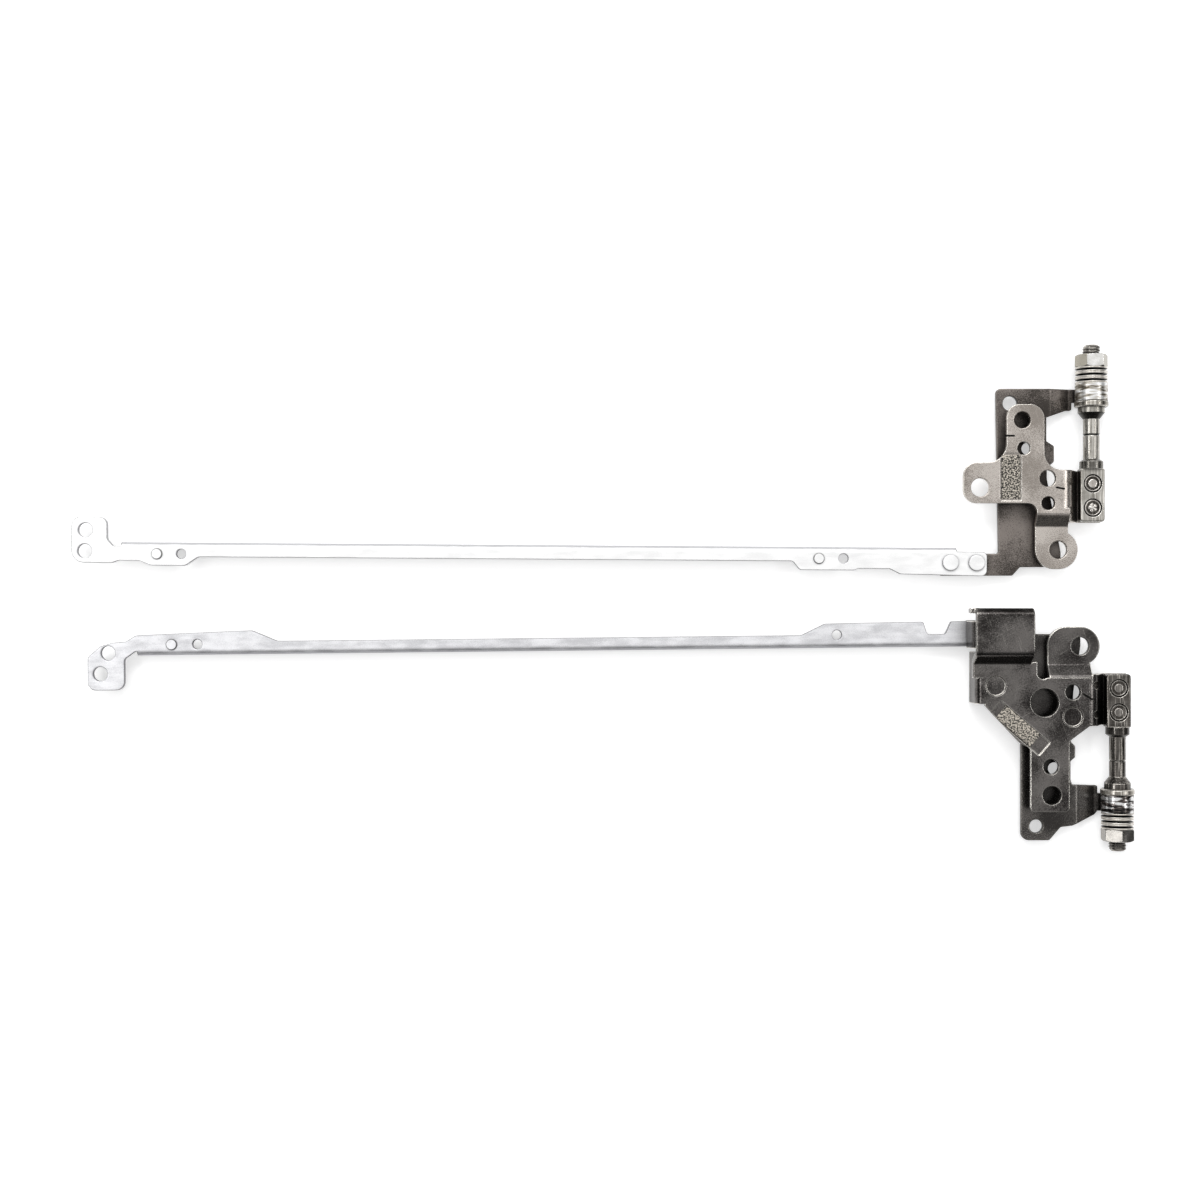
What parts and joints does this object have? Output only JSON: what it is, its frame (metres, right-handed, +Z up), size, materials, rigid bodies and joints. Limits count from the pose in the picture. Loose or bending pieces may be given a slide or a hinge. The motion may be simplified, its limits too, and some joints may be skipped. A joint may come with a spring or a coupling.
{
  "type": "laptop hinge pair",
  "caption": "Left and right friction hinges for a laptop lid, lying closed: long lid arms, stamped brackets, riveted turned shafts, disc springs and lock nuts.",
  "frame": {"origin": "middle of the pair's footprint, on the surface that it lies on", "axes": "+X along the lid arms from their far ends to the shafts, +Y along the shafts from the right hinge to the left one, +Z up"},
  "size_m": [0.2238, 0.1064, 0.0095],
  "materials": {
    "left_bracket": "warm grey nickel plate on stamped steel, satin",
    "right_bracket": "dark nickel plate on stamped steel, satin, with bright worn rims",
    "arm_zinc": "bright zinc coat on strip steel, fine mottled sheen",
    "rivet_steel": "formed steel, faint radial marks",
    "shaft_steel": "turned steel, dark satin with lengthwise highlights",
    "washer_steel": "hardened steel with a film of grease",
    "spring_steel": "spring steel, lightly greased",
    "nut_nickel": "bright nickel plate",
    "pad_fabric": "conductive pad, dark with cream specks, matt"
  },
  "bodies": {
    "display_leaves": {"left_display_bracket": "left_bracket", "left_arm": "arm_zinc", "left_arm_rivet_1": "rivet_steel", "left_arm_rivet_2": "rivet_steel", "right_display_bracket": "right_bracket", "right_arm": "arm_zinc", "right_arm_rivet_1": "rivet_steel", "right_arm_rivet_2": "rivet_steel"},
    "left_base_leaf": {"left_base_bracket": "left_bracket", "left_shaft": "shaft_steel", "left_shaft_rivet_1": "rivet_steel", "left_shaft_rivet_2": "rivet_steel", "left_stop_washer": "washer_steel", "left_nut": "nut_nickel", "left_ground_pad": "pad_fabric", "left_disc_spring_1": "spring_steel", "left_disc_spring_2": "spring_steel", "left_disc_spring_3": "spring_steel", "left_disc_spring_4": "spring_steel", "left_disc_spring_5": "spring_steel", "left_disc_spring_6": "spring_steel"},
    "right_base_leaf": {"right_base_bracket": "right_bracket", "right_shaft": "shaft_steel", "right_shaft_rivet_1": "rivet_steel", "right_shaft_rivet_2": "rivet_steel", "right_stop_washer": "washer_steel", "right_nut": "nut_nickel", "right_ground_pad": "pad_fabric", "right_disc_spring_1": "spring_steel", "right_disc_spring_2": "spring_steel", "right_disc_spring_3": "spring_steel", "right_disc_spring_4": "spring_steel", "right_disc_spring_5": "spring_steel", "right_disc_spring_6": "spring_steel"}
  },
  "joints": [
    {"name": "left_hinge", "type": "hinge", "parent": "display_leaves", "child": "left_base_leaf", "pos_m": [0.1029, 0.0414, 0.0035], "axis": [0, 1, 0], "range_deg": [0, 140]},
    {"name": "right_hinge", "type": "hinge", "parent": "display_leaves", "child": "right_base_leaf", "pos_m": [0.1084, -0.0414, 0.0035], "axis": [0, 1, 0], "range_deg": [0, 140]}
  ]
}
